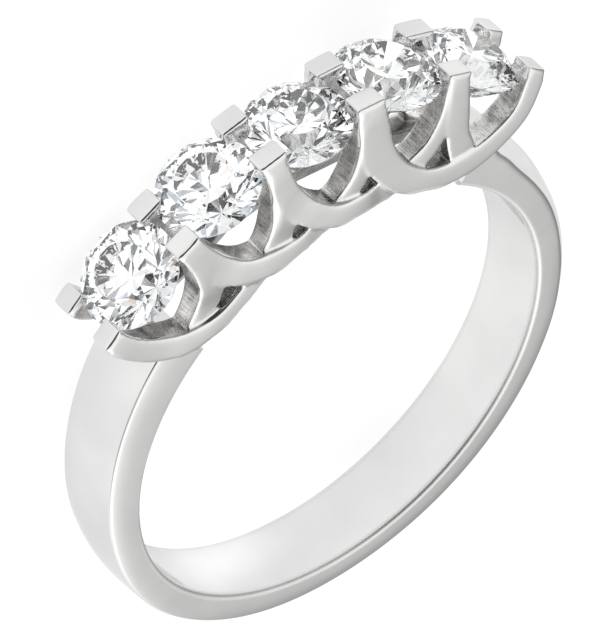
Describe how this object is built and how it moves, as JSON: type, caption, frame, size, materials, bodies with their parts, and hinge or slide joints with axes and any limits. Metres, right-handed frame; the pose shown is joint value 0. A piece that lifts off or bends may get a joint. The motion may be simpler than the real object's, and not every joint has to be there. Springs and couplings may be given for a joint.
{
  "type": "finger ring",
  "caption": "Finger ring with a plain polished band and a curved row of round brilliant stones, held by shared square prongs on woven side walls.",
  "frame": {"origin": "centre of the finger hole, halfway through the band's width", "axes": "+Z along the finger axis, so the ring lies on its side; +Y from the finger towards the middle stone; +X along the row of stones"},
  "size_m": [0.0196, 0.0233, 0.0036],
  "materials": {
    "white_gold": "mirror polished",
    "stone": "facet cut, polished"
  },
  "bodies": {
    "root": {"ring_mounting": "white_gold", "stone_1": "stone", "stone_2": "stone", "stone_3": "stone", "stone_4": "stone", "stone_5": "stone"}
  },
  "joints": []
}
